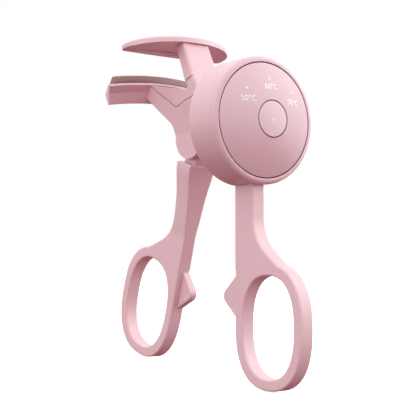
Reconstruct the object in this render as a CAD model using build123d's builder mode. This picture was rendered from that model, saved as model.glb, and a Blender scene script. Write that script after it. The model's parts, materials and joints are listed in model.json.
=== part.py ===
"""Heated eyelash curler of the scissor kind, in millimetres.

Frame: +Z up, X across the jaws, the drum's face looks along -Y. The origin is the centre of the
bottom of the whole object's box. The lever (rear handle, strap and visor) turns on a pin along X.
It is modelled open, at rest; squeezing the finger loops turns it by about 18 degrees.
"""

import os
from math import asin, atan2, cos, degrees, radians, sin, sqrt, tan

from build123d import *

os.makedirs("parts", exist_ok=True)

# ---------------------------------------------------------------- driving dimensions
CENTRE_Y = -0.207           # shift along Y that centres the whole object on the origin

# drum
DRUM_R = 20.0
DRUM_Z = 83.15              # height of the drum's axis
DRUM_BACK = -16.35          # y of the drum's back face
DRUM_DEPTH = 13.1           # from the back face to the rim round the glossy cap
WALL = 1.6
BEZEL_LEN = 3.45            # the front ring, part of DRUM_DEPTH
LIP_R = 1.5                 # rounding of the ring's outer edge
CAP_R = 17.9
CAP_GAP = 0.3               # dark groove round the cap and round the button
DOME_R = 40.0               # radius of the cap's spherical face
CAP_T = 1.5
CAP_EDGE = 0.12
BUTTON_R = 5.6
BUTTON_TRAVEL = 0.5
LAMP_CIRCLE_R = 12.7
LAMP_R = 0.5
LAMP_ANGLES = (45, 90, 135)

# board and switch, as depths from the drum's back face
BOARD_BACK = 9.0
BOARD_T = 1.0
BOARD_R = 16.5
POST_CIRCLE_R = 14.9
POST_ANGLES = (35, 145, 215, 325)

# handles
HANDLE_T = 4.86             # thickness along X
LOOP_A = 11.86              # half width of the finger hole
LOOP_B = 15.75              # half height of the finger hole
LOOP_POWER = 2.38           # squareness of the finger hole
LOOP_WALL_SIDE = 3.7
LOOP_WALL_END = 3.45
FRONT_EDGE_Y = -17.3        # straight inner edge of the front handle
REAR_EDGE_Y = -0.25         # the same edge of the rear handle when the handles are closed
FRONT_SHANK_W = 8.85
REAR_SHANK_W = 7.3
WEB_CORNER_Z = 46.4         # where the shank runs into the web of the loop
WEB_R = 13.5                # rounding of that corner
TAB_LOW, TAB_HIGH, TAB_OUT = 21.4, 35.2, 7.4
TAB_TIP_R = 2.6
LAP_GAP = 0.3               # between the two lap tabs, along X

# pivot and lever
PIVOT_Y, PIVOT_Z = 3.55, 80.5
OPEN_ANGLE = 16.7           # lean of the rear handle at rest
CLOSE_ANGLE = 18.0          # turn of the lever from rest to shut
PIN_R = 1.5
HUB_R = 7.7
CHEEK_R = 7.3
HUB_HALF = 2.9              # half width of the hub between the cheeks
CHEEK_IN = 3.2              # inner face of the cheeks
CHEEK_OUT = 5.25            # outer face of the cheeks at the pivot
ARM_OUT = 6.3               # outer face of the arm at the jaw
SHOULDER_R = 15.4           # underside of the strap, an arc about the pivot
CRADLE_R = 15.0             # top of the cradle under it
ARM_TOP = 91.3              # top of the arm where it meets the drum
HANDLE_TOP = 8.9            # from the pivot down to the rear handle's shoulder

# strap
STRAP_TOP_Y, STRAP_TOP_Z = 6.2, 112.3   # front face, where it meets the visor
STRAP_LEAN = 24.3
STRAP_T = 4.6
STRAP_TOP_HALF, STRAP_LOW_HALF = 5.3, 5.8
STRAP_SLOT_HALF = 5.45      # half width of its foot, inside the cradle's walls
STRAP_STEP = 12.4           # down the strap, where the foot steps in

# visor (upper jaw), in its own plane
VISOR_Y, VISOR_Z = 5.3, 112.67          # lower front edge at the middle
VISOR_TILT = 10.0
VISOR_HALF = 20.9
VISOR_TIP_R = 1.1
VISOR_T = 2.05
PRESS_DEEP = 12.3           # from the front edge to the press edge, at the middle

# lower jaw, in its own plane
JAW_Y, JAW_Z = 24.4, 101.25             # lower edge of the pad's press face at the middle
JAW_TILT = 25.0
JAW_R = 62.0                # radius of the press face
PAD_H = 3.25
PAD_D = 6.2
PAD_HALF = 19.4
TRAY_HALF = 21.2
PLATE_HALF = 18.0


# ---------------------------------------------------------------- planes and helpers
def side_plane(y, z, lean=0.0):
    """Plane across X at (y, z) whose local x leans up from +Y by lean degrees."""
    return Plane(origin=(0, y, z), x_dir=(0, cos(radians(lean)), sin(radians(lean))),
                 z_dir=(1, 0, 0))


def superellipse(half_x, half_y, count=12):
    """Closed smooth outline |x/a|^n + |y/b|^n = 1, as a sketch about its own centre."""
    points = []
    for step in range(4 * count):
        angle = radians(360 * step / (4 * count))
        c, s = cos(angle), sin(angle)
        x = abs(c) ** (2 / LOOP_POWER) * half_x * (1 if c >= 0 else -1)
        y = abs(s) ** (2 / LOOP_POWER) * half_y * (1 if s >= 0 else -1)
        points.append((x, y))
    with BuildSketch() as outline:
        with BuildLine():
            Spline(*points, periodic=True)
        make_face()
    return outline.sketch


LOOP_U = LOOP_A + LOOP_WALL_SIDE        # centre of the loop from the handle's inner edge
LOOP_Z = LOOP_B + LOOP_WALL_END
WEB_U = LOOP_U + 0.5 * LOOP_A           # where the web meets the loop's outline
WEB_Z = LOOP_Z + 0.925 * (LOOP_B + LOOP_WALL_END)


def handle_outline(shank_width, top_z):
    """Shank, web and loop of a handle; x runs out from the inner edge, y is the height."""
    with BuildSketch() as outline:
        with BuildLine():
            Polyline((0, LOOP_Z), (0, top_z), (shank_width, top_z), (shank_width, WEB_CORNER_Z),
                     (WEB_U, WEB_Z), (LOOP_U, LOOP_Z), close=True)
        make_face()
        with Locations((LOOP_U, LOOP_Z)):
            add(superellipse(LOOP_U, LOOP_B + LOOP_WALL_END))
        corner = outline.vertices().sort_by_distance((shank_width, WEB_CORNER_Z))[0]
        fillet(corner, WEB_R)
        with Locations((LOOP_U, LOOP_Z)):
            add(superellipse(LOOP_A, LOOP_B), mode=Mode.SUBTRACT)
    return outline.sketch


def web_width(shank_width, height):
    """Depth of a handle at a height above the loop, along the rounded corner of the web."""
    turn = atan2(WEB_U - shank_width, WEB_CORNER_Z - WEB_Z)
    drop = max(0, WEB_CORNER_Z + WEB_R * tan(turn / 2) - height)
    return shank_width + WEB_R - sqrt(WEB_R**2 - drop**2)


def tab_outline():
    """Pointed lap tab on the inner edge of a handle, in the handle outline's own frame."""
    with BuildSketch() as outline:
        with BuildLine():
            Polyline((0.6, TAB_LOW), (-TAB_OUT, (TAB_LOW + TAB_HIGH) / 2), (0.6, TAB_HIGH), close=True)
        make_face()
        fillet(outline.vertices().sort_by(Axis.X)[0], TAB_TIP_R)
    return outline.sketch


def jaw_section(half_length):
    """Section plane of the lower jaw at its -X end; x runs away from the press face, y is up."""
    turn, tilt = asin(half_length / JAW_R), radians(JAW_TILT)
    sag = JAW_R * (1 - cos(turn))
    return Plane(origin=(-half_length, JAW_Y + sag * cos(tilt), JAW_Z - sag * sin(tilt)),
                 x_dir=(sin(turn), cos(turn) * cos(tilt), -cos(turn) * sin(tilt)),
                 z_dir=(cos(turn), -sin(turn) * cos(tilt), sin(turn) * sin(tilt)))


def jaw_arc(half_length):
    """Degrees the lower jaw's sections sweep from end to end."""
    return 2 * degrees(asin(half_length / JAW_R))


def screw(length, shank_r, head_r, head_h):
    """Countersunk screw along -Z with its flat head at the origin and a cross slot."""
    with BuildPart(mode=Mode.PRIVATE) as fastener:
        with BuildSketch(Plane.XZ):
            with BuildLine():
                Polyline((0, 0), (head_r, 0), (shank_r, -head_h), (shank_r, -length + 0.5),
                         (0.3, -length), (0, -length), close=True)
            make_face()
        revolve(axis=Axis.Z)
        for turn in (0, 90):
            with BuildSketch(Plane.XY.offset(-0.45)):
                Rectangle(1.3 * head_r, 0.28 * head_r, rotation=turn)
            extrude(amount=1, mode=Mode.SUBTRACT)
    return fastener.part


def finish(builder, label):
    """Label a finished piece, centre the object on the origin and write the piece to its own file."""
    piece = builder.part.moved(Location((0, CENTRE_Y, 0)))
    piece.label = label
    export_step(piece, f"parts/{label}.step")


# Planes. drum_plane looks at the drum from the front: local z is the depth from the back face.
drum_plane = Plane(origin=(0, DRUM_BACK, DRUM_Z), x_dir=(1, 0, 0), z_dir=(0, -1, 0))
drum_section = Plane(origin=(0, DRUM_BACK, DRUM_Z), x_dir=(1, 0, 0), z_dir=(0, 0, -1))
drum_axis = Axis((0, DRUM_BACK, DRUM_Z), (0, -1, 0))
world_side = side_plane(0, 0)
pivot_plane = side_plane(PIVOT_Y, PIVOT_Z)
front_handle_plane = Plane(origin=(0, FRONT_EDGE_Y, 0), x_dir=(0, -1, 0), z_dir=(-1, 0, 0))
lean_cos, lean_sin = cos(radians(OPEN_ANGLE)), sin(radians(OPEN_ANGLE))
rear_offset = REAR_EDGE_Y - PIVOT_Y
rear_handle_plane = Plane(
    origin=(0, PIVOT_Y + rear_offset * lean_cos + PIVOT_Z * lean_sin,
            PIVOT_Z + rear_offset * lean_sin - PIVOT_Z * lean_cos),
    x_dir=(0, lean_cos, lean_sin), z_dir=(1, 0, 0))
visor_plane = Plane(origin=(0, VISOR_Y, VISOR_Z), x_dir=(1, 0, 0),
                    z_dir=(0, sin(radians(VISOR_TILT)), cos(radians(VISOR_TILT))))
jaw_plane = side_plane(JAW_Y, JAW_Z, -JAW_TILT)
jaw_axis = Axis((0, JAW_Y + JAW_R * cos(radians(JAW_TILT)), JAW_Z - JAW_R * sin(radians(JAW_TILT))),
                (0, sin(radians(JAW_TILT)), cos(radians(JAW_TILT))))

# depths along the drum's axis
crown_depth = DRUM_DEPTH + DOME_R - sqrt(DOME_R**2 - CAP_R**2)
dome_centre = crown_depth - DOME_R
shell_depth = DRUM_DEPTH - BEZEL_LEN
bore_r = DRUM_R - WALL


def dome_depth(radius):
    """Depth of the glossy face at a distance from the drum's axis."""
    return dome_centre + sqrt(DOME_R**2 - radius**2)


# ---------------------------------------------------------------- drum
PORT_W, PORT_H, PORT_LEN = 8.94, 3.2, 7.0
PORT_DEPTH = BOARD_BACK - PORT_H / 2
ARM_SCREW_X, ARM_SCREW_Z = 3.0, (-3.2, 6.6)
TANG_W, TANG_TOP = 6.4, 70.0
WIRE_X, WIRE_Z = 4.4, 87.0
LEAD_R, LEAD_BORE_R = 0.45, 0.6
port_plane = Plane(origin=(DRUM_R - 0.75, DRUM_BACK - PORT_DEPTH, DRUM_Z), x_dir=(0, 0, 1),
                   z_dir=(1, 0, 0))

# heads of the two screws that hold the front handle; local z points out of the drum's back
handle_screw_spots = [Plane(origin=(0, DRUM_BACK - 0.1, z), x_dir=(1, 0, 0), z_dir=(0, 1, 0))
                      for z in (66.4, 68.9)]
with BuildPart() as handle_screws:
    with Locations(*handle_screw_spots):
        add(screw(6.0, 0.7, 1.15, 0.5))
finish(handle_screws, "handle_screws")

with BuildPart(mode=Mode.PRIVATE) as handle_screw_bores:
    with Locations(*handle_screw_spots):
        Cylinder(0.7, 6.0, align=(Align.CENTER, Align.CENTER, Align.MAX))
        Cylinder(1.2, 1.2, align=(Align.CENTER, Align.CENTER, Align.CENTER))

with BuildPart() as drum_housing:
    with BuildSketch(drum_plane):
        Circle(DRUM_R)
    extrude(amount=shell_depth)
    fillet(drum_housing.edges().sort_by(Axis.Y)[-1], 0.7)
    with BuildSketch(drum_plane.offset(WALL)):
        Circle(bore_r)
    extrude(amount=DRUM_DEPTH, mode=Mode.SUBTRACT)
    # posts that carry the board
    with BuildSketch(drum_plane.offset(WALL)):
        for angle in POST_ANGLES:
            with PolarLocations(POST_CIRCLE_R, 1, start_angle=angle):
                Circle(1.7)
    extrude(amount=BOARD_BACK - WALL)
    with BuildSketch(drum_plane.offset(BOARD_BACK - 4)):
        for angle in POST_ANGLES:
            with PolarLocations(POST_CIRCLE_R, 1, start_angle=angle):
                Circle(0.75)
    extrude(amount=DRUM_DEPTH, mode=Mode.SUBTRACT)
    # slot for the charging port in the side wall
    with BuildSketch(port_plane):
        RectangleRounded(PORT_W + 0.3, PORT_H + 0.3, 1.5)
    extrude(amount=4, both=True, mode=Mode.SUBTRACT)
    # socket for the front handle's tang
    with BuildSketch(Plane.XY.offset(DRUM_Z - DRUM_R - 1)):
        with Locations((0, FRONT_EDGE_Y - FRONT_SHANK_W / 2)):
            Rectangle(HANDLE_T - 1.2, TANG_W)
    extrude(amount=DRUM_R / 2, mode=Mode.SUBTRACT)
    # holes in the back wall for the arm's screws and the heater leads
    with BuildSketch(drum_plane):
        for z in ARM_SCREW_Z:
            with Locations((ARM_SCREW_X, z), (-ARM_SCREW_X, z)):
                Circle(1.05)
        with Locations((WIRE_X, WIRE_Z - DRUM_Z), (-WIRE_X, WIRE_Z - DRUM_Z)):
            Circle(LEAD_BORE_R)
    extrude(amount=WALL, mode=Mode.SUBTRACT)
    with BuildSketch(drum_plane.offset(WALL)):
        for z in ARM_SCREW_Z:
            with Locations((ARM_SCREW_X, z), (-ARM_SCREW_X, z)):
                Circle(1.95)
    extrude(amount=-0.8, taper=45, mode=Mode.SUBTRACT)
    add(handle_screw_bores.part, mode=Mode.SUBTRACT)
finish(drum_housing, "drum_housing")

with BuildPart() as front_bezel:
    with BuildSketch(drum_plane.offset(shell_depth)):
        Circle(DRUM_R)
    extrude(amount=BEZEL_LEN)
    fillet(front_bezel.edges().sort_by(Axis.Y)[0], LIP_R)
    with BuildSketch(drum_plane.offset(shell_depth)):
        Circle(CAP_R - 1.1)
    extrude(amount=BEZEL_LEN, mode=Mode.SUBTRACT)
    with BuildSketch(drum_plane.offset(DRUM_DEPTH - 1.7)):
        Circle(CAP_R + CAP_GAP)
    extrude(amount=2, mode=Mode.SUBTRACT)
    fillet(front_bezel.edges().filter_by(GeomType.CIRCLE).group_by(Axis.Y)[0].sort_by(SortBy.RADIUS)[0],
           0.12)
finish(front_bezel, "front_bezel")

with BuildPart() as face_cap:
    inner_r = BUTTON_R + CAP_GAP
    ledge = DRUM_DEPTH - 1.7
    mid_r = 0.75 * CAP_R
    with BuildSketch(drum_section):
        with BuildLine():
            ThreePointArc((inner_r, dome_depth(inner_r)), (mid_r, dome_depth(mid_r)),
                          (CAP_R - CAP_EDGE, dome_depth(CAP_R - CAP_EDGE)))
            Line((CAP_R - CAP_EDGE, dome_depth(CAP_R - CAP_EDGE)), (CAP_R, DRUM_DEPTH - CAP_EDGE))
            Line((CAP_R, DRUM_DEPTH - CAP_EDGE), (CAP_R, ledge))
            Line((CAP_R, ledge), (CAP_R - 1.3, ledge))
            ThreePointArc((CAP_R - 1.3, ledge), (mid_r, dome_depth(mid_r) - CAP_T),
                          (inner_r, dome_depth(inner_r) - CAP_T))
            Line((inner_r, dome_depth(inner_r) - CAP_T), (inner_r, dome_depth(inner_r)))
        make_face()
    revolve(axis=drum_axis)
    with BuildSketch(drum_plane):
        for angle in LAMP_ANGLES:
            with PolarLocations(LAMP_CIRCLE_R, 1, start_angle=angle):
                Circle(LAMP_R + 0.02)
    extrude(amount=30, mode=Mode.SUBTRACT)
finish(face_cap, "face_cap")

with BuildPart() as indicator_light_pipes:
    with BuildSketch(drum_plane.offset(BOARD_BACK + BOARD_T + 0.7)):
        for angle in LAMP_ANGLES:
            with PolarLocations(LAMP_CIRCLE_R, 1, start_angle=angle):
                Circle(LAMP_R)
    extrude(amount=10)
    with Locations((0, DRUM_BACK - dome_centre, DRUM_Z)):
        Sphere(DOME_R, mode=Mode.INTERSECT)
finish(indicator_light_pipes, "indicator_light_pipes")

FLANGE_R, FLANGE_BACK, FLANGE_T = 6.6, 14.4, 0.75
STEM_R, STEM_TIP = 1.7, 12.4
with BuildPart() as power_button:
    with BuildSketch(drum_section):
        with BuildLine():
            ThreePointArc((0, crown_depth), (BUTTON_R / 2, dome_depth(BUTTON_R / 2)),
                          (BUTTON_R - CAP_EDGE, dome_depth(BUTTON_R - CAP_EDGE)))
            Polyline((BUTTON_R - CAP_EDGE, dome_depth(BUTTON_R - CAP_EDGE)),
                     (BUTTON_R, dome_depth(BUTTON_R) - CAP_EDGE), (BUTTON_R, FLANGE_BACK + FLANGE_T),
                     (FLANGE_R, FLANGE_BACK + FLANGE_T), (FLANGE_R, FLANGE_BACK),
                     (STEM_R, FLANGE_BACK), (STEM_R, STEM_TIP), (0, STEM_TIP), (0, crown_depth))
        make_face()
    revolve(axis=drum_axis)
finish(power_button, "power_button")

# ---------------------------------------------------------------- inside the drum
SWITCH_H, SWITCH_W, PLUNGER_R, PLUNGER_IN = 1.6, 4.5, 0.95, 11.05
board_front = BOARD_BACK + BOARD_T

with BuildPart() as circuit_board:
    with BuildSketch(drum_plane.offset(BOARD_BACK)):
        Circle(BOARD_R)
        for angle in POST_ANGLES:
            with PolarLocations(POST_CIRCLE_R, 1, start_angle=angle):
                Circle(0.85, mode=Mode.SUBTRACT)
    extrude(amount=BOARD_T)
finish(circuit_board, "circuit_board")

with BuildPart() as board_screws:
    for angle in POST_ANGLES:
        with BuildSketch(drum_plane.offset(board_front)):
            with PolarLocations(POST_CIRCLE_R, 1, start_angle=angle):
                Circle(1.4)
        extrude(amount=0.8)
        with BuildSketch(drum_plane.offset(board_front)):
            with PolarLocations(POST_CIRCLE_R, 1, start_angle=angle):
                Circle(0.7)
        extrude(amount=-4.5)
finish(board_screws, "board_screws")

with BuildPart() as tact_switch:
    with BuildSketch(drum_plane.offset(board_front)):
        Rectangle(SWITCH_W, SWITCH_W)
    extrude(amount=SWITCH_H)
    chamfer(tact_switch.edges().filter_by(Axis.Y), 0.4)
    with BuildSketch(drum_plane.offset(board_front + 0.4)):
        Circle(PLUNGER_R + 0.06)
    extrude(amount=SWITCH_H, mode=Mode.SUBTRACT)
finish(tact_switch, "tact_switch")

with BuildPart() as switch_plunger:
    with BuildSketch(drum_plane.offset(PLUNGER_IN)):
        Circle(PLUNGER_R)
    extrude(amount=STEM_TIP - PLUNGER_IN)
finish(switch_plunger, "switch_plunger")

with BuildPart() as indicator_leds:
    with BuildSketch(drum_plane.offset(board_front)):
        for angle in LAMP_ANGLES:
            with PolarLocations(LAMP_CIRCLE_R, 1, start_angle=angle):
                Rectangle(1.6, 0.9)
    extrude(amount=0.6)
finish(indicator_leds, "indicator_leds")

with BuildPart() as controller_chip:
    with BuildSketch(drum_plane.offset(board_front)):
        with Locations((0, -8.5)):
            Rectangle(5, 5)
    extrude(amount=0.9)
    chamfer(controller_chip.edges().group_by(Axis.Y)[0], 0.15)
finish(controller_chip, "controller_chip")

BATTERY_W, BATTERY_H, BATTERY_T, BATTERY_LOW = 20.0, 14.8, 4.6, -12.3
FOAM_T = 0.8
battery_middle = BATTERY_LOW + BATTERY_H / 2
with BuildPart() as battery_foam:
    with BuildSketch(drum_plane.offset(WALL)):
        with Locations((0, battery_middle)):
            Rectangle(BATTERY_W - 3, BATTERY_H - 3)
    extrude(amount=FOAM_T)
finish(battery_foam, "battery_foam")

with BuildPart() as battery:
    with BuildSketch(drum_plane.offset(WALL + FOAM_T)):
        with Locations((0, battery_middle)):
            RectangleRounded(BATTERY_W, BATTERY_H, 1.5)
    extrude(amount=BATTERY_T)
    fillet(battery.edges().group_by(Axis.Y)[0] + battery.edges().group_by(Axis.Y)[-1], 0.8)
finish(battery, "battery")

with BuildPart() as charging_port:
    with BuildSketch(port_plane):
        RectangleRounded(PORT_W, PORT_H, 1.4)
    extrude(amount=-PORT_LEN)
    with BuildSketch(port_plane):
        RectangleRounded(PORT_W - 0.6, PORT_H - 0.6, 1.1)
    extrude(amount=-PORT_LEN + 0.5, mode=Mode.SUBTRACT)
finish(charging_port, "charging_port")

with BuildPart() as port_tongue:
    with BuildSketch(port_plane.offset(-PORT_LEN + 0.5)):
        RectangleRounded(6.7, 0.7, 0.3)
    extrude(amount=PORT_LEN - 1.2)
finish(port_tongue, "port_tongue")

with BuildPart() as battery_leads:
    for side in (-1, 1):
        x, depth = 7.5 * side, WALL + FOAM_T + BATTERY_T / 2
        with BuildLine():
            lead = FilletPolyline((x, DRUM_BACK - depth, DRUM_Z + BATTERY_LOW + BATTERY_H),
                                  (x, DRUM_BACK - depth, WIRE_Z), (x, DRUM_BACK - BOARD_BACK, WIRE_Z),
                                  radius=0.6)
        with BuildSketch(Plane(origin=lead @ 0, z_dir=lead % 0)):
            Circle(0.35)
        sweep(path=lead)
finish(battery_leads, "battery_leads")

# ---------------------------------------------------------------- front handle
tang_middle = FRONT_EDGE_Y - FRONT_SHANK_W / 2
with BuildPart() as front_handle:
    with BuildSketch(front_handle_plane):
        add(handle_outline(FRONT_SHANK_W, DRUM_Z - DRUM_R + 1.3))
    extrude(amount=HANDLE_T / 2, both=True)
    # the top follows the drum's round underside
    with BuildSketch(drum_plane.offset(-DRUM_R)):
        Circle(DRUM_R)
    extrude(amount=3 * DRUM_R, mode=Mode.SUBTRACT)
    with BuildSketch(front_handle_plane.offset(LAP_GAP / 2 + 0.5)):
        add(tab_outline())
    extrude(amount=HANDLE_T / 2 - LAP_GAP / 2 - 0.5)
    fillet(front_handle.faces().filter_by(Axis.X).edges().filter_by(
        lambda edge: edge.center().Z < DRUM_Z - DRUM_R - 0.5), 0.55)
    with BuildSketch(Plane.XY.offset(DRUM_Z - DRUM_R - 0.5)):
        with Locations((0, tang_middle)):
            Rectangle(HANDLE_T - 1.3, TANG_W - 0.1)
    extrude(amount=TANG_TOP - DRUM_Z + DRUM_R + 0.5)
    add(handle_screw_bores.part, mode=Mode.SUBTRACT)
finish(front_handle, "front_handle")

# ---------------------------------------------------------------- lever: strap, hub and rear handle
strap_cos, strap_sin = cos(radians(STRAP_LEAN)), sin(radians(STRAP_LEAN))


def strap_point(along, across):
    """(y, z) of a point of the strap, down along its front face and back across its thickness."""
    return (STRAP_TOP_Y - along * strap_sin + across * strap_cos,
            STRAP_TOP_Z - along * strap_cos - across * strap_sin)


def strap_section(along):
    """Plane across the strap, normal down along it, x along X."""
    y, z = strap_point(along, STRAP_T / 2)
    return Plane(origin=(0, y, z), x_dir=(1, 0, 0), z_dir=(0, -strap_sin, -strap_cos))


STRAP_LEN = 17.2
NECK_HALF = 3.0             # half width of the neck under the hub, along Y
TANG_T, TANG_LEN, TANG_HALF = 2.4, 9.0, 2.2
BUSH_R = 2.5
with BuildPart() as jaw_stem:
    # strap: widens downwards, then steps in to run between the walls of the cradle
    for along, half in ((-3, STRAP_TOP_HALF), (STRAP_STEP, STRAP_LOW_HALF)):
        with BuildSketch(strap_section(along)):
            RectangleRounded(2 * half, STRAP_T, 0.9)
    loft()
    with BuildSketch(strap_section(STRAP_STEP)):
        RectangleRounded(2 * STRAP_SLOT_HALF, STRAP_T, 0.9)
    extrude(amount=STRAP_LEN + 6 - STRAP_STEP)
    with BuildSketch(pivot_plane):
        Circle(SHOULDER_R)
    extrude(amount=12, both=True, mode=Mode.SUBTRACT)
    # the strap ends on the visor's underside
    with BuildSketch(visor_plane):
        Rectangle(80, 80)
    extrude(amount=12, mode=Mode.SUBTRACT)
    # neck and hub between the cheeks
    with BuildSketch(world_side):
        with BuildLine():
            Polyline(strap_point(STRAP_LEN - 1.5, 0.3), (PIVOT_Y - HUB_R + 0.2, PIVOT_Z + 4),
                     (PIVOT_Y, PIVOT_Z), strap_point(STRAP_LEN + 9, STRAP_T - 0.3),
                     strap_point(STRAP_LEN - 1.5, STRAP_T - 0.3), close=True)
        make_face()
        with Locations((PIVOT_Y, PIVOT_Z)):
            Circle(HUB_R)
    extrude(amount=HUB_HALF, both=True)
    # neck under the hub and tang for the rear handle
    with BuildSketch(rear_handle_plane):
        with Locations((-rear_offset, PIVOT_Z - HANDLE_TOP / 2)):
            Rectangle(2 * NECK_HALF, HANDLE_TOP)
    extrude(amount=HUB_HALF - 0.1, both=True)
    with BuildSketch(rear_handle_plane):
        with Locations((-rear_offset, PIVOT_Z - HANDLE_TOP - TANG_LEN / 2 + 0.5)):
            Rectangle(2 * TANG_HALF, TANG_LEN + 1)
    extrude(amount=TANG_T / 2, both=True)
    with BuildSketch(pivot_plane):
        Circle(BUSH_R)
    extrude(amount=12, both=True, mode=Mode.SUBTRACT)

with BuildPart() as hub_bushing:
    with BuildSketch(pivot_plane):
        Circle(BUSH_R)
        Circle(PIN_R + 0.04, mode=Mode.SUBTRACT)
    extrude(amount=HUB_HALF, both=True)
finish(hub_bushing, "hub_bushing")

with BuildPart() as pivot_pin:
    with BuildSketch(pivot_plane):
        Circle(PIN_R)
    extrude(amount=CHEEK_OUT - 0.75, both=True)
    chamfer(pivot_pin.edges().filter_by(GeomType.CIRCLE), 0.2)
finish(pivot_pin, "pivot_pin")

with BuildPart() as pivot_washers:
    for side in (-1, 1):
        with BuildSketch(pivot_plane.offset(side * (HUB_HALF + 0.05))):
            Circle(4.2)
            Circle(PIN_R + 0.03, mode=Mode.SUBTRACT)
        extrude(amount=side * (CHEEK_IN - HUB_HALF - 0.05))
finish(pivot_washers, "pivot_washers")

# heads of the two screws through the rear handle and the hub's tang; local z points out along +X
lever_screw_spots = [Plane(origin=(3.5, PIVOT_Y + depth * lean_sin, PIVOT_Z - depth * lean_cos),
                           x_dir=(0, 1, 0), z_dir=(1, 0, 0))
                     for depth in (HANDLE_TOP + 3.4, HANDLE_TOP + 6.8)]
with BuildPart() as lever_screws:
    with Locations(*lever_screw_spots):
        add(screw(4.4, 0.6, 1.1, 0.5))
finish(lever_screws, "lever_screws")

with BuildPart(mode=Mode.PRIVATE) as lever_screw_bores:
    with Locations(*lever_screw_spots):
        Cylinder(1.2, 5, align=(Align.CENTER, Align.CENTER, Align.MIN))

with BuildPart(mode=Mode.PRIVATE) as lever_screw_solids:
    with Locations(*lever_screw_spots):
        Cylinder(0.6, 4.4, align=(Align.CENTER, Align.CENTER, Align.MAX))
        Cone(0.6, 1.1, 0.5, align=(Align.CENTER, Align.CENTER, Align.MAX))


def shank_section(height, half, extra):
    """Rounded rectangle across the rear shank, at a height up the handle."""
    width = web_width(REAR_SHANK_W, height) + extra
    with BuildSketch(Plane(origin=rear_handle_plane.from_local_coords((width / 2, height, 0)),
                           x_dir=(1, 0, 0), z_dir=(0, -lean_sin, lean_cos))) as section:
        RectangleRounded(2 * half, width, 0.55)
    return section.sketch


# heights up the rear handle, with its half thickness along X and its extra depth along Y there
FLARE = ((45.0, 2.43, 0.0), (49.0, 2.62, 0.0), (54.0, 3.15, 0.0), (61.0, 3.85, 0.1), (67.0, 4.85, 0.45),
         (71.15, 5.2, 0.7))
with BuildPart() as rear_handle:
    with BuildSketch(rear_handle_plane):
        add(handle_outline(REAR_SHANK_W, 60))
    extrude(amount=HANDLE_T / 2, both=True)
    fillet(rear_handle.faces().filter_by(Axis.X).edges().filter_by(
        lambda edge: rear_handle_plane.to_local_coords(edge.center()).Y < 59), 0.55)
    with BuildSketch(rear_handle_plane.offset(LAP_GAP / 2 - 0.5)):
        add(tab_outline())
    extrude(amount=HANDLE_T / 2 - LAP_GAP / 2 + 0.5)
    fillet(rear_handle.faces().filter_by(Axis.X).edges().filter_by(
        lambda edge: rear_handle_plane.to_local_coords(edge.center()).X < -0.8), 0.4)
    with BuildSketch(rear_handle_plane):
        with Locations((10, FLARE[0][0] + 10)):
            Rectangle(40, 20)
    extrude(amount=10, both=True, mode=Mode.SUBTRACT)
    # the shank thickens towards its shoulder
    loft([shank_section(*level) for level in FLARE])
    extrude(shank_section(*FLARE[-1]), amount=PIVOT_Z - HANDLE_TOP - FLARE[-1][0], taper=40)
    add(jaw_stem.part, mode=Mode.SUBTRACT)
    add(lever_screw_bores.part, mode=Mode.SUBTRACT)
    add(lever_screw_solids.part, mode=Mode.SUBTRACT)
finish(rear_handle, "rear_handle")

jaw_stem.part -= lever_screw_solids.part
finish(jaw_stem, "jaw_stem")

# ---------------------------------------------------------------- upper jaw (visor)
LIP_T, LIP_DROP, LIP_BOW_R = 1.3, 1.45, 128.0
with BuildPart() as upper_jaw:
    tip = VISOR_HALF - VISOR_TIP_R
    press_tip = PRESS_DEEP + JAW_R - sqrt(JAW_R**2 - tip**2)
    half_deep = press_tip - VISOR_TIP_R
    with BuildSketch(visor_plane):
        with BuildLine():
            EllipticalCenterArc((0, half_deep), VISOR_HALF, half_deep, start_angle=180, arc_size=180)
            ThreePointArc((VISOR_HALF, half_deep), (tip + 0.707 * VISOR_TIP_R, press_tip - 0.293 * VISOR_TIP_R),
                          (tip, press_tip))
            ThreePointArc((tip, press_tip), (0, PRESS_DEEP), (-tip, press_tip))
            ThreePointArc((-tip, press_tip), (-tip - 0.707 * VISOR_TIP_R, press_tip - 0.293 * VISOR_TIP_R),
                          (-VISOR_HALF, half_deep))
        make_face()
    extrude(amount=VISOR_T)
    fillet(upper_jaw.faces().filter_by(lambda face: face.normal_at().Z > 0.9)[0].edges(), 0.8)
    # lip along the press edge
    with BuildSketch(visor_plane.offset(-LIP_DROP)):
        with Locations((0, PRESS_DEEP + JAW_R)):
            Circle(JAW_R + LIP_T)
            Circle(JAW_R, mode=Mode.SUBTRACT)
        with Locations((0, PRESS_DEEP)):
            Rectangle(39, 6, mode=Mode.INTERSECT)
    extrude(amount=LIP_DROP + 0.5)
    # its lower edge rises towards the tips
    with BuildSketch(Plane(origin=visor_plane.origin, x_dir=(1, 0, 0), z_dir=-visor_plane.y_dir)):
        with Locations((0, LIP_BOW_R - LIP_DROP)):
            Circle(LIP_BOW_R)
    extrude(amount=40, both=True, mode=Mode.INTERSECT)
finish(upper_jaw, "upper_jaw")

# ---------------------------------------------------------------- lower jaw
POCKET_IN, POCKET_OUT, FILM_T, PLATE_T = 1.5, 6.1, 0.25, 0.85
with BuildPart() as silicone_pad:
    with BuildSketch(jaw_section(PAD_HALF)):
        with Locations((PAD_D / 2, PAD_H / 2)):
            RectangleRounded(PAD_D, PAD_H, 0.9)
    revolve(axis=jaw_axis, revolution_arc=jaw_arc(PAD_HALF))
    ends = silicone_pad.faces().filter_by(GeomType.PLANE).filter_by(lambda face: abs(face.normal_at().X) > 0.8)
    fillet(ends.edges(), 0.6)
finish(silicone_pad, "silicone_pad")

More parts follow.
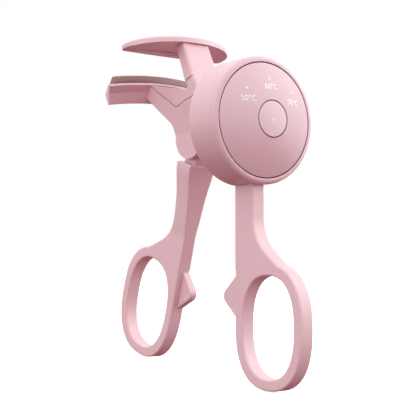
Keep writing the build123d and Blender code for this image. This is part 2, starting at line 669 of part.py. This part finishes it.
with BuildPart() as heater_plate:
    with BuildSketch(jaw_section(PLATE_HALF)):
        with Locations(((POCKET_IN + POCKET_OUT) / 2, -PLATE_T / 2)):
            Rectangle(POCKET_OUT - POCKET_IN, PLATE_T)
    revolve(axis=jaw_axis, revolution_arc=jaw_arc(PLATE_HALF))
finish(heater_plate, "heater_plate")

with BuildPart() as heating_film:
    with BuildSketch(jaw_section(PLATE_HALF - 0.5)):
        with Locations(((POCKET_IN + POCKET_OUT) / 2, -PLATE_T - FILM_T / 2)):
            Rectangle(POCKET_OUT - POCKET_IN - 0.4, FILM_T)
    revolve(axis=jaw_axis, revolution_arc=jaw_arc(PLATE_HALF - 0.5))
finish(heating_film, "heating_film")

# bead under the film, in the middle of the tray
bead_plane = Plane(origin=jaw_plane.from_local_coords((POCKET_OUT - 1.3, -PLATE_T - FILM_T, 0)),
                   x_dir=(1, 0, 0), z_dir=-jaw_plane.y_dir)
with BuildPart() as thermistor:
    with BuildSketch(bead_plane):
        RectangleRounded(1.8, 1.1, 0.3)
    extrude(amount=0.9)
finish(thermistor, "thermistor")


def lead_path(side):
    """Run of one heater lead, from the board through the arm into the tray."""
    x = side * WIRE_X
    tray = jaw_plane.from_local_coords((3.4, -PLATE_T - FILM_T - 0.35, x))
    with BuildLine():
        path = FilletPolyline((x, DRUM_BACK - BOARD_BACK, WIRE_Z), (x, -4, WIRE_Z), (x, 8, 88.3),
                              (x, 16, 91.6), (x, 24, 97.2), tray, radius=2)
    return path


with BuildPart() as heater_leads:
    for side in (-1, 1):
        lead = lead_path(side)
        with BuildSketch(Plane(origin=lead @ 0, z_dir=lead % 0)):
            Circle(LEAD_R)
        sweep(path=lead)
finish(heater_leads, "heater_leads")

with BuildPart(mode=Mode.PRIVATE) as lead_channels:
    for side in (-1, 1):
        lead = lead_path(side)
        with BuildSketch(Plane(origin=lead @ 0, z_dir=lead % 0)):
            Circle(LEAD_BORE_R)
        sweep(path=lead)

with BuildPart() as lower_jaw:
    with BuildSketch(jaw_section(TRAY_HALF)) as hull:
        with BuildLine():
            Polyline((-0.2, 0), (-0.2, -1.1), (2.7, -2.2), (4.4, -3.7), (5.7, -4.8), (6.6, -4.5),
                     (7.0, -1.0), (7.0, 0), close=True)
        make_face()
        for rounded in ((-0.2, 0), (6.6, -4.5)):
            fillet(hull.vertices().sort_by_distance(rounded)[0], 0.6)
    revolve(axis=jaw_axis, revolution_arc=jaw_arc(TRAY_HALF))
    with BuildSketch(jaw_section(PLATE_HALF + 0.1)):
        with Locations(((POCKET_IN + POCKET_OUT) / 2, 0)):
            Rectangle(POCKET_OUT - POCKET_IN, 2 * (PLATE_T + FILM_T))
    revolve(axis=jaw_axis, revolution_arc=jaw_arc(PLATE_HALF + 0.1), mode=Mode.SUBTRACT)
    add(thermistor.part, mode=Mode.SUBTRACT)
    add(lead_channels.part, mode=Mode.SUBTRACT)
finish(lower_jaw, "lower_jaw")

# ---------------------------------------------------------------- arm: two cheeks and the insert
with BuildPart() as arm_screws:
    for x in (-ARM_SCREW_X, ARM_SCREW_X):
        for z in ARM_SCREW_Z:
            with Locations(Plane(origin=(x, DRUM_BACK - WALL, DRUM_Z + z), x_dir=(1, 0, 0), z_dir=(0, -1, 0))):
                add(screw(7.5, 0.98, 1.85, 0.85))
finish(arm_screws, "arm_screws")


def insert_outline():
    """Side view of the piece let into the top of the arm; x is Y, y is the height."""
    with BuildSketch() as outline:
        with BuildLine():
            Polyline((24.3, 100.2), (24.05, 100.0), (20.55, 97.7), (16.75, 95.4), (12.95, 93.3), (9.05, 90.9),
                     (3.95, 92.9), (1.65, 93.3), (-1.5, 94.3), (-1.5, 99), (4.2, 96.1), close=True)
        make_face()
        fillet(outline.vertices().sort_by_distance((9.05, 90.9))[0], 2.0)
    return outline.sketch


with BuildPart() as arm_body:
    with BuildSketch(world_side) as arm_outline:
        with Locations((PIVOT_Y, PIVOT_Z)):
            Circle(CHEEK_R)
        with BuildLine():
            Polyline((DRUM_BACK, ARM_TOP), (DRUM_BACK, 76.9), (-3.2, 77.2), (PIVOT_Y, PIVOT_Z),
                     (PIVOT_Y + CHEEK_R - 0.1, PIVOT_Z + 0.5), (12.3, 85.3), (29, 97.75), (26, 101),
                     (24.3, 100.2), (4.2, 96.1), (-1.5, 99), (-7, ARM_TOP), close=True)
        make_face()
        fillet(arm_outline.vertices().sort_by_distance((12.3, 85.3))[0], 4.0)
    extrude(amount=ARM_OUT, both=True)
    # the cheeks narrow from the jaw down to the boss
    with BuildSketch(Plane.XZ):
        with BuildLine():
            Polyline((0, 105), (ARM_OUT, 105), (ARM_OUT, 92), (CHEEK_OUT, 82), (CHEEK_OUT, 70), (0, 70),
                     close=True)
        make_face()
        mirror(about=Plane.YZ)
    extrude(amount=60, both=True, mode=Mode.INTERSECT)
    # the arm ends on the tray's hull
    with BuildSketch(jaw_section(TRAY_HALF)):
        with BuildLine():
            Polyline((-0.2, 20), (-0.2, -1.1), (2.7, -2.2), (4.4, -3.7), (5.7, -4.8), (30, -4.8), (30, 20),
                     close=True)
        make_face()
    revolve(axis=jaw_axis, revolution_arc=jaw_arc(TRAY_HALF), mode=Mode.SUBTRACT)


def closed(point):
    """(y, z) of a point of the lever once it is squeezed shut."""
    turn = radians(CLOSE_ANGLE)
    y, z = point[0] - PIVOT_Y, point[1] - PIVOT_Z
    return (PIVOT_Y + y * cos(turn) + z * sin(turn), PIVOT_Z - y * sin(turn) + z * cos(turn))


# room for the lever over its travel
with BuildPart(mode=Mode.PRIVATE) as lever_space:
    with BuildSketch(world_side):
        with Locations((PIVOT_Y, PIVOT_Z)):
            Circle(HUB_R + 0.3)
        with BuildLine():
            Polyline((PIVOT_Y - HUB_R, PIVOT_Z), (-4.1, 84.5), (-0.14, 97.87), (-0.14, 101),
                     closed(strap_point(STRAP_LEN - 6, STRAP_T)), closed(strap_point(STRAP_LEN + 10, STRAP_T)),
                     (PIVOT_Y, PIVOT_Z), close=True)
        make_face()
    extrude(amount=CHEEK_IN, both=True)
    with BuildSketch(world_side):
        with BuildLine():
            Polyline(closed(strap_point(-10, STRAP_T + 0.3)), closed(strap_point(STRAP_LEN + 15, STRAP_T + 0.3)),
                     (-30, 70), (-30, 140), close=True)
        make_face()
        with Locations((PIVOT_Y, PIVOT_Z)):
            Circle(CRADLE_R, mode=Mode.SUBTRACT)
        with Locations((0, ARM_TOP - 40)):
            Rectangle(100, 80, mode=Mode.SUBTRACT)
    extrude(amount=STRAP_SLOT_HALF + 0.3, both=True)

with BuildPart() as jaw_insert:
    with BuildSketch(world_side):
        add(insert_outline())
    extrude(amount=ARM_OUT, both=True)
    add(arm_body.part, mode=Mode.INTERSECT)
    add(lever_space.part, mode=Mode.SUBTRACT)
    add(lower_jaw.part, mode=Mode.SUBTRACT)
finish(jaw_insert, "jaw_insert")

GROOVE, GROOVE_DEEP = 0.2, 1.5     # shadow groove round the insert
with BuildPart(mode=Mode.PRIVATE) as arm_core:
    add(arm_body.part)
    with BuildSketch(world_side):
        add(insert_outline())
    extrude(amount=ARM_OUT, both=True, mode=Mode.SUBTRACT)
    for side in (-1, 1):
        with BuildSketch(world_side.offset(side * (ARM_OUT - GROOVE_DEEP))):
            add(insert_outline())
            offset(amount=GROOVE)
        extrude(amount=side * GROOVE_DEEP, mode=Mode.SUBTRACT)
    # the top follows the cradle's arc
    with BuildSketch(world_side):
        with Locations((-16, ARM_TOP + 10)):
            Rectangle(36, 20)
        with Locations((PIVOT_Y, PIVOT_Z)):
            Circle(CRADLE_R, mode=Mode.SUBTRACT)
    extrude(amount=20, both=True, mode=Mode.SUBTRACT)
    add(lever_space.part, mode=Mode.SUBTRACT)
    for other in (lower_jaw, lead_channels, pivot_pin, arm_screws):
        add(other.part, mode=Mode.SUBTRACT)

for label, keep in (("jaw_arm_left", Keep.BOTTOM), ("jaw_arm_right", Keep.TOP)):
    with BuildPart() as half_arm:
        add(arm_core.part)
        split(bisect_by=Plane.YZ, keep=keep)
    finish(half_arm, label)
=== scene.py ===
"""Heated eyelash curler: looks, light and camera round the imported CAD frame, in metres."""
import json
import math

import bpy
from mathutils import Matrix, Vector


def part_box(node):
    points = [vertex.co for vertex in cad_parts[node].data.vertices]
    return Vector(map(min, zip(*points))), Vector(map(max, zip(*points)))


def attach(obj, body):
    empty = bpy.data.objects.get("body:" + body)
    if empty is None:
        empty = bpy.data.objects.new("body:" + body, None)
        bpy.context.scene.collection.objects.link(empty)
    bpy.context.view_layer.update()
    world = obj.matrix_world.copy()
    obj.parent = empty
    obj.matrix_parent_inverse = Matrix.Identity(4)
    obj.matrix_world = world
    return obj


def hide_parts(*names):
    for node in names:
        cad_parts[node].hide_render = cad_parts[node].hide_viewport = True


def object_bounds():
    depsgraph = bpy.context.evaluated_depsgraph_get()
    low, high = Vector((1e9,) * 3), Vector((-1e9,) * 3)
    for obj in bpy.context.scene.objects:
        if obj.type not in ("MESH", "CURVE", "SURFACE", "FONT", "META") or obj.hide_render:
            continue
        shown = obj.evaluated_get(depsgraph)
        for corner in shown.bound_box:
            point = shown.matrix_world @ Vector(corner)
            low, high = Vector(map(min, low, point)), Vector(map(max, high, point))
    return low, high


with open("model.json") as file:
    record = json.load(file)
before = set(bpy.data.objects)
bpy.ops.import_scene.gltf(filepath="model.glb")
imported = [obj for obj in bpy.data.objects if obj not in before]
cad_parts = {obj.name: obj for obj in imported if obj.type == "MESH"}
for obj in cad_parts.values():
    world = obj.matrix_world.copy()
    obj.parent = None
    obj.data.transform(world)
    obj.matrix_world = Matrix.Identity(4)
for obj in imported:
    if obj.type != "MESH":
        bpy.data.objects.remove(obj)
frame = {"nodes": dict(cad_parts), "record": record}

cad_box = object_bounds()
nodes = frame["nodes"]
slots = {entry["node"]: entry["material_slot"] for entry in frame["record"]["subparts"]}


def link(name, data):
    """A new object in the scene."""
    piece = bpy.data.objects.new(name, data)
    bpy.context.scene.collection.objects.link(piece)
    return piece


# ---------------------------------------------------------------- material helpers
CREVICE_REACH = 0.0009      # how far from a surface a neighbour still shades it
# painted shade: the dark colour mixed into the base colour in narrow gaps between pieces
CREVICE_SHADE = (0.16, 0.03, 0.045)
CREVICE_OPEN = 0.62         # openness above which there is no shade, and below which it is full
CREVICE_SHUT = 0.3


def new_material(name, colour, roughness, coat=0.0, coat_roughness=0.05, metallic=0.0, subsurface=0.0):
    """A Principled material and its shader."""
    material = bpy.data.materials.new(name)
    material.use_nodes = True
    shader = material.node_tree.nodes["Principled BSDF"]
    shader.inputs["Base Color"].default_value = (*colour, 1)
    shader.inputs["Roughness"].default_value = roughness
    shader.inputs["Metallic"].default_value = metallic
    shader.inputs["Coat Weight"].default_value = coat
    shader.inputs["Coat Roughness"].default_value = coat_roughness
    if subsurface:
        shader.inputs["Subsurface Weight"].default_value = subsurface
        shader.inputs["Subsurface Radius"].default_value = (1.0, 0.45, 0.4)
        shader.inputs["Subsurface Scale"].default_value = 0.0012
    return material, shader


def add_noise(material, scale, detail):
    """Noise in object space; scale is in waves per metre."""
    tree = material.node_tree
    coords = tree.nodes.new("ShaderNodeTexCoord")
    noise = tree.nodes.new("ShaderNodeTexNoise")
    noise.inputs["Scale"].default_value = scale
    noise.inputs["Detail"].default_value = detail
    tree.links.new(coords.outputs["Object"], noise.inputs["Vector"])
    return noise


def vary_roughness(material, shader, noise, low, high):
    """Roughness that wanders between two values with the noise."""
    tree = material.node_tree
    spread = tree.nodes.new("ShaderNodeMapRange")
    spread.inputs["To Min"].default_value = low
    spread.inputs["To Max"].default_value = high
    tree.links.new(noise.outputs["Fac"], spread.inputs["Value"])
    tree.links.new(spread.outputs["Result"], shader.inputs["Roughness"])


def vary_colour(material, shader, noise, dark, light):
    """Base colour that wanders between two shades with the noise."""
    tree = material.node_tree
    ramp = tree.nodes.new("ShaderNodeValToRGB")
    for stop, position, shade in zip(ramp.color_ramp.elements, (0.3, 0.7), (dark, light)):
        stop.position = position
        stop.color = (*shade, 1)
    tree.links.new(noise.outputs["Fac"], ramp.inputs["Fac"])
    tree.links.new(ramp.outputs["Color"], shader.inputs["Base Color"])


def add_bump(material, shader, noise, distance, strength=0.3):
    """Fine surface relief from the noise."""
    tree = material.node_tree
    bump = tree.nodes.new("ShaderNodeBump")
    bump.inputs["Strength"].default_value = strength
    bump.inputs["Distance"].default_value = distance
    tree.links.new(noise.outputs["Fac"], bump.inputs["Height"])
    tree.links.new(bump.outputs["Normal"], shader.inputs["Normal"])


def darken_crevices(material, shader):
    """Deep painted shade in narrow gaps between pieces, over the colour that the shader already has."""
    tree = material.node_tree
    occlusion = tree.nodes.new("ShaderNodeAmbientOcclusion")
    occlusion.samples = 8
    occlusion.inputs["Distance"].default_value = CREVICE_REACH
    depth = tree.nodes.new("ShaderNodeMapRange")
    depth.inputs["From Min"].default_value = CREVICE_SHUT
    depth.inputs["From Max"].default_value = CREVICE_OPEN
    tree.links.new(occlusion.outputs["AO"], depth.inputs["Value"])
    blend = tree.nodes.new("ShaderNodeMix")
    blend.data_type = "RGBA"
    blend.inputs["A"].default_value = (*CREVICE_SHADE, 1)
    surface = shader.inputs["Base Color"].links[0].from_socket
    tree.links.new(depth.outputs["Result"], blend.inputs["Factor"])
    tree.links.new(surface, blend.inputs["B"])
    tree.links.new(blend.outputs["Result"], shader.inputs["Base Color"])


# ---------------------------------------------------------------- materials
def plastic(name, colour, roughness, grain=2500.0, relief=0.000012, coat=0.0, coat_roughness=0.05,
            subsurface=0.0, crevices=False):
    """Moulded plastic: broad faint colour drift, fine grain in roughness and relief."""
    material, shader = new_material(name, colour, roughness, coat, coat_roughness, subsurface=subsurface)
    drift = add_noise(material, 45.0, 2.0)
    vary_colour(material, shader, drift, [c * 0.975 for c in colour], [min(1.0, c * 1.02) for c in colour])
    fine = add_noise(material, grain, 3.0)
    vary_roughness(material, shader, fine, roughness - 0.04, roughness + 0.04)
    add_bump(material, shader, fine, relief)
    if crevices:
        darken_crevices(material, shader)
    return material


def metal(name, colour, roughness, grain=1800.0):
    """Machined or drawn metal with a fine even grain."""
    material, shader = new_material(name, colour, roughness, metallic=1.0)
    fine = add_noise(material, grain, 5.0)
    vary_roughness(material, shader, fine, roughness * 0.7, roughness * 1.3)
    add_bump(material, shader, fine, 0.000008, 0.2)
    return material


def silicone(name, dark, light):
    """Matt brown rubber, lighter and darker in broad patches, with a fine grain."""
    material, shader = new_material(name, dark, 0.5, coat=0.1, coat_roughness=0.4, subsurface=0.25)
    vary_colour(material, shader, add_noise(material, 60.0, 3.0), dark, light)
    grain = add_noise(material, 3500.0, 2.0)
    vary_roughness(material, shader, grain, 0.42, 0.56)
    add_bump(material, shader, grain, 0.00002)
    return material


looks = {
    "shell_pink": plastic("shell_pink", (0.82, 0.565, 0.61), 0.36, coat=0.25, coat_roughness=0.25,
                          subsurface=0.12, crevices=True),
    "cap_pink": plastic("cap_pink", (0.82, 0.565, 0.615), 0.22, grain=900.0, relief=0.000002, coat=1.0,
                        coat_roughness=0.02, subsurface=0.08, crevices=True),
    "button_pink": plastic("button_pink", (0.84, 0.62, 0.665), 0.34, coat=0.35, coat_roughness=0.15,
                           subsurface=0.1, crevices=True),
    "light_pipe": plastic("light_pipe", (0.95, 0.94, 0.94), 0.2, coat=0.5),
    "steel": metal("steel", (0.62, 0.62, 0.64), 0.3),
    "brass": metal("brass", (0.72, 0.52, 0.22), 0.32),
    "washer": plastic("washer", (0.85, 0.85, 0.82), 0.5),
    "board": plastic("board", (0.02, 0.16, 0.06), 0.35, coat=0.4),
    "chip": plastic("chip", (0.02, 0.02, 0.022), 0.55),
    "led": plastic("led", (0.9, 0.9, 0.8), 0.4),
    "switch_body": plastic("switch_body", (0.03, 0.03, 0.03), 0.5),
    "plunger": plastic("plunger", (0.8, 0.8, 0.76), 0.45),
    "cell": metal("cell", (0.66, 0.67, 0.69), 0.38, grain=400.0),
    "foam": plastic("foam", (0.05, 0.05, 0.05), 0.9, grain=3000.0, relief=0.0001),
    "port_shell": metal("port_shell", (0.6, 0.6, 0.62), 0.25),
    "port_tongue": plastic("port_tongue", (0.025, 0.025, 0.025), 0.5),
    "heater_metal": metal("heater_metal", (0.72, 0.72, 0.74), 0.34),
    "film": plastic("film", (0.5, 0.22, 0.03), 0.3, coat=0.5),
    "bead": plastic("bead", (0.1, 0.05, 0.04), 0.5),
    "lead": plastic("lead", (0.8, 0.8, 0.8), 0.5),
    "pad": silicone("pad", (0.29, 0.15, 0.14), (0.36, 0.2, 0.185)),
}
print_white = plastic("print_white", (1.0, 0.98, 0.985), 0.4, relief=0.000004)

for name, node in nodes.items():
    for slot in node.material_slots:
        slot.material = looks[slots[name]]


# ---------------------------------------------------------------- rounded edges on the arm
def round_edges(node, width):
    """Soft edges on a sharp-edged CAD piece, by modifiers alone."""
    weld = node.modifiers.new("weld", "WELD")
    weld.merge_threshold = 0.000002
    bevel = node.modifiers.new("bevel", "BEVEL")
    bevel.width = width
    bevel.segments = 4
    bevel.limit_method = "ANGLE"
    bevel.angle_limit = math.radians(40)
    bevel.use_clamp_overlap = True
    bevel.harden_normals = True


ARM_EDGE = 0.0006
INSERT_EDGE = 0.0005
round_edges(nodes["jaw_arm_left"], ARM_EDGE)
round_edges(nodes["jaw_arm_right"], ARM_EDGE)
round_edges(nodes["jaw_insert"], INSERT_EDGE)

# ---------------------------------------------------------------- soft pad of the lower jaw
PAD_VOXEL = 0.00028
PAD_CROWN = 0.00006


def soft_pad():
    """Silicone pad: the space its solid holds, softened, with a slightly crowned top."""
    pad = link("jaw_pad", nodes["silicone_pad"].data.copy())
    remesh = pad.modifiers.new("remesh", "REMESH")
    remesh.mode = "VOXEL"
    remesh.voxel_size = PAD_VOXEL
    soften = pad.modifiers.new("soften", "SMOOTH")
    soften.factor = 0.5
    soften.iterations = 10
    bpy.context.view_layer.update()
    mesh = bpy.data.meshes.new_from_object(pad.evaluated_get(bpy.context.evaluated_depsgraph_get()))
    pad.modifiers.clear()
    pad.data = mesh
    low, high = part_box("silicone_pad")
    for vertex in mesh.vertices:
        across = 2 * (vertex.co.y - low[1]) / (high[1] - low[1]) - 1
        rise = (vertex.co.z - low[2]) / (high[2] - low[2])
        vertex.co.z += PAD_CROWN * rise * (1 - across ** 2)
    mesh.materials.clear()
    mesh.materials.append(looks["pad"])
    for face in mesh.polygons:
        face.use_smooth = True
    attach(pad, "body")
    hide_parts("silicone_pad")


soft_pad()

# ---------------------------------------------------------------- printed temperatures on the dome
DOME_R = 0.040
PRINT_LIFT = 0.00002
LABEL_SIZE = (0.0052, 0.0020)
LABELS = ((50, -0.0088, 0.0059), (60, 0.0001, 0.01015), (70, 0.0090, 0.0059))   # number, x and z
crown_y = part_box("power_button")[0][1]
axis_z = (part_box("drum_housing")[0][2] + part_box("drum_housing")[1][2]) / 2


def text_mesh(text):
    """The characters as a flat mesh in the XY plane, slightly bold and with a little thickness."""
    curve = bpy.data.curves.new("text", "FONT")
    curve.body = text
    curve.extrude = 0.00001
    curve.offset = 0.018
    source = link("text", curve)
    bpy.context.view_layer.update()
    mesh = bpy.data.meshes.new_from_object(source)
    bpy.data.objects.remove(source)
    return mesh


def printed_label(name, text, x, z):
    """White characters that lie on the dome, centred at (x, z) from its axis."""
    mesh = text_mesh(text)
    across = [v.co.x for v in mesh.vertices]
    upward = [v.co.y for v in mesh.vertices]
    left, right = min(across), max(across)
    bottom, top = min(upward), max(upward)
    for v in mesh.vertices:
        px = x + ((v.co.x - left) / (right - left) - 0.5) * LABEL_SIZE[0]
        pz = z + ((v.co.y - bottom) / (top - bottom) - 0.5) * LABEL_SIZE[1]
        py = crown_y + DOME_R - math.sqrt(DOME_R ** 2 - px ** 2 - pz ** 2)
        v.co = (px, py - PRINT_LIFT - v.co.z, axis_z + pz)
    mesh.materials.clear()
    mesh.materials.append(print_white)
    label = link(name, mesh)
    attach(label, "body")


for number, x, z in LABELS:
    printed_label(f"print_{number}", f"{number}\u00b0C", x, z)

# ---------------------------------------------------------------- floor
FLOOR_HALF = 3
FLOOR_DROP = 0.0004


def pale_floor():
    """White floor just under the object. It lights nothing and shows in no reflection."""
    mesh = bpy.data.meshes.new("floor")
    corners = [(-FLOOR_HALF, -FLOOR_HALF, 0), (FLOOR_HALF, -FLOOR_HALF, 0),
               (FLOOR_HALF, FLOOR_HALF, 0), (-FLOOR_HALF, FLOOR_HALF, 0)]
    mesh.from_pydata(corners, [], [(0, 1, 2, 3)])
    material, shader = new_material("floor", (0.9, 0.9, 0.9), 0.8)
    shader.inputs["Emission Color"].default_value = (1, 1, 1, 1)
    shader.inputs["Emission Strength"].default_value = 0.75
    mesh.materials.append(material)
    floor = link("floor", mesh)
    floor.location.z = cad_box[0][2] - FLOOR_DROP
    floor.visible_diffuse = False
    floor.visible_glossy = False


pale_floor()

# ---------------------------------------------------------------- light
SKY_LIGHT = 1.15
SKY_STOPS = ((0.34, (0.24, 0.08, 0.095)), (0.52, (0.74, 0.68, 0.69)), (0.75, (1, 0.985, 0.99)))


def studio_world():
    """White where the camera sees it. As light, it goes from dull pink below to white above."""
    world = bpy.data.worlds.new("studio")
    bpy.context.scene.world = world
    world.use_nodes = True
    tree = world.node_tree
    light = tree.nodes["Background"]
    light.inputs["Strength"].default_value = SKY_LIGHT
    seen = tree.nodes.new("ShaderNodeBackground")
    seen.inputs["Color"].default_value = (1, 1, 1, 1)
    coords = tree.nodes.new("ShaderNodeTexCoord")
    split = tree.nodes.new("ShaderNodeSeparateXYZ")
    height = tree.nodes.new("ShaderNodeMapRange")
    height.inputs["From Min"].default_value = -1
    shades = tree.nodes.new("ShaderNodeValToRGB")
    bottom, top = shades.color_ramp.elements
    bottom.position, bottom.color = SKY_STOPS[0][0], (*SKY_STOPS[0][1], 1)
    top.position, top.color = SKY_STOPS[2][0], (*SKY_STOPS[2][1], 1)
    shades.color_ramp.elements.new(SKY_STOPS[1][0]).color = (*SKY_STOPS[1][1], 1)
    rays = tree.nodes.new("ShaderNodeLightPath")
    blend = tree.nodes.new("ShaderNodeMixShader")
    for source, target in ((coords.outputs["Generated"], split.inputs["Vector"]),
                           (split.outputs["Z"], height.inputs["Value"]),
                           (height.outputs["Result"], shades.inputs["Fac"]),
                           (shades.outputs["Color"], light.inputs["Color"]),
                           (rays.outputs["Is Camera Ray"], blend.inputs["Fac"]),
                           (light.outputs["Background"], blend.inputs[1]),
                           (seen.outputs["Background"], blend.inputs[2]),
                           (blend.outputs["Shader"], tree.nodes["World Output"].inputs["Surface"])):
        tree.links.new(source, target)


def area_light(name, corner, edges, size, power):
    """A soft box from one corner along two edges. It shines against the cross product of the edges."""
    light = bpy.data.lights.new(name, "AREA")
    light.shape = "RECTANGLE"
    light.size, light.size_y = size
    light.energy = power
    lamp = link(name, light)
    x_axis = Vector(edges[0]).normalized()
    z_axis = x_axis.cross(Vector(edges[1])).normalized()
    y_axis = z_axis.cross(x_axis)
    lamp.matrix_world = Matrix((x_axis, y_axis, z_axis)).transposed().to_4x4()
    lamp.location = Vector(corner) + x_axis * size[0] / 2 + y_axis * size[1] / 2
    return lamp


studio_world()

# one tilted box to the front right, in two lamps: one only lights, the other only shows as gloss
DRUM_FACE = Vector((0, -0.02, 0.083))
FRONT_AWAY = 0.7
FRONT_CORNER = DRUM_FACE + FRONT_AWAY * Vector((0.432, -0.847, 0.309))
FRONT_EDGES = ((0.406, 0.481, -0.777), (0.351, 0.702, 0.619))
FRONT_SIZE = (1.0, 0.9)
area_light("front_box", FRONT_CORNER, FRONT_EDGES, FRONT_SIZE, 3.0).visible_glossy = False
area_light("front_box_gloss", FRONT_CORNER, FRONT_EDGES, FRONT_SIZE, 16.0).visible_diffuse = False
area_light("left_box", (-0.9, 0.1, 0.1), ((0, -1, 0), (0.3, 0, 1)), (0.7, 0.6), 1.4)

# ---------------------------------------------------------------- camera
LENS = 95.1                 # for a 36 mm sensor
EYE = (-0.2198, -0.28856, 0.03975)
LOOK = (0.6059, 0.7942, 0.0473)

camera_data = bpy.data.cameras.new("camera")
camera_data.lens = LENS
camera_data.sensor_width = 36
camera = link("camera", camera_data)
camera.location = EYE
camera.rotation_euler = Vector(LOOK).to_track_quat("-Z", "Y").to_euler()
bpy.context.scene.camera = camera
bpy.context.scene.view_settings.view_transform = "Standard"
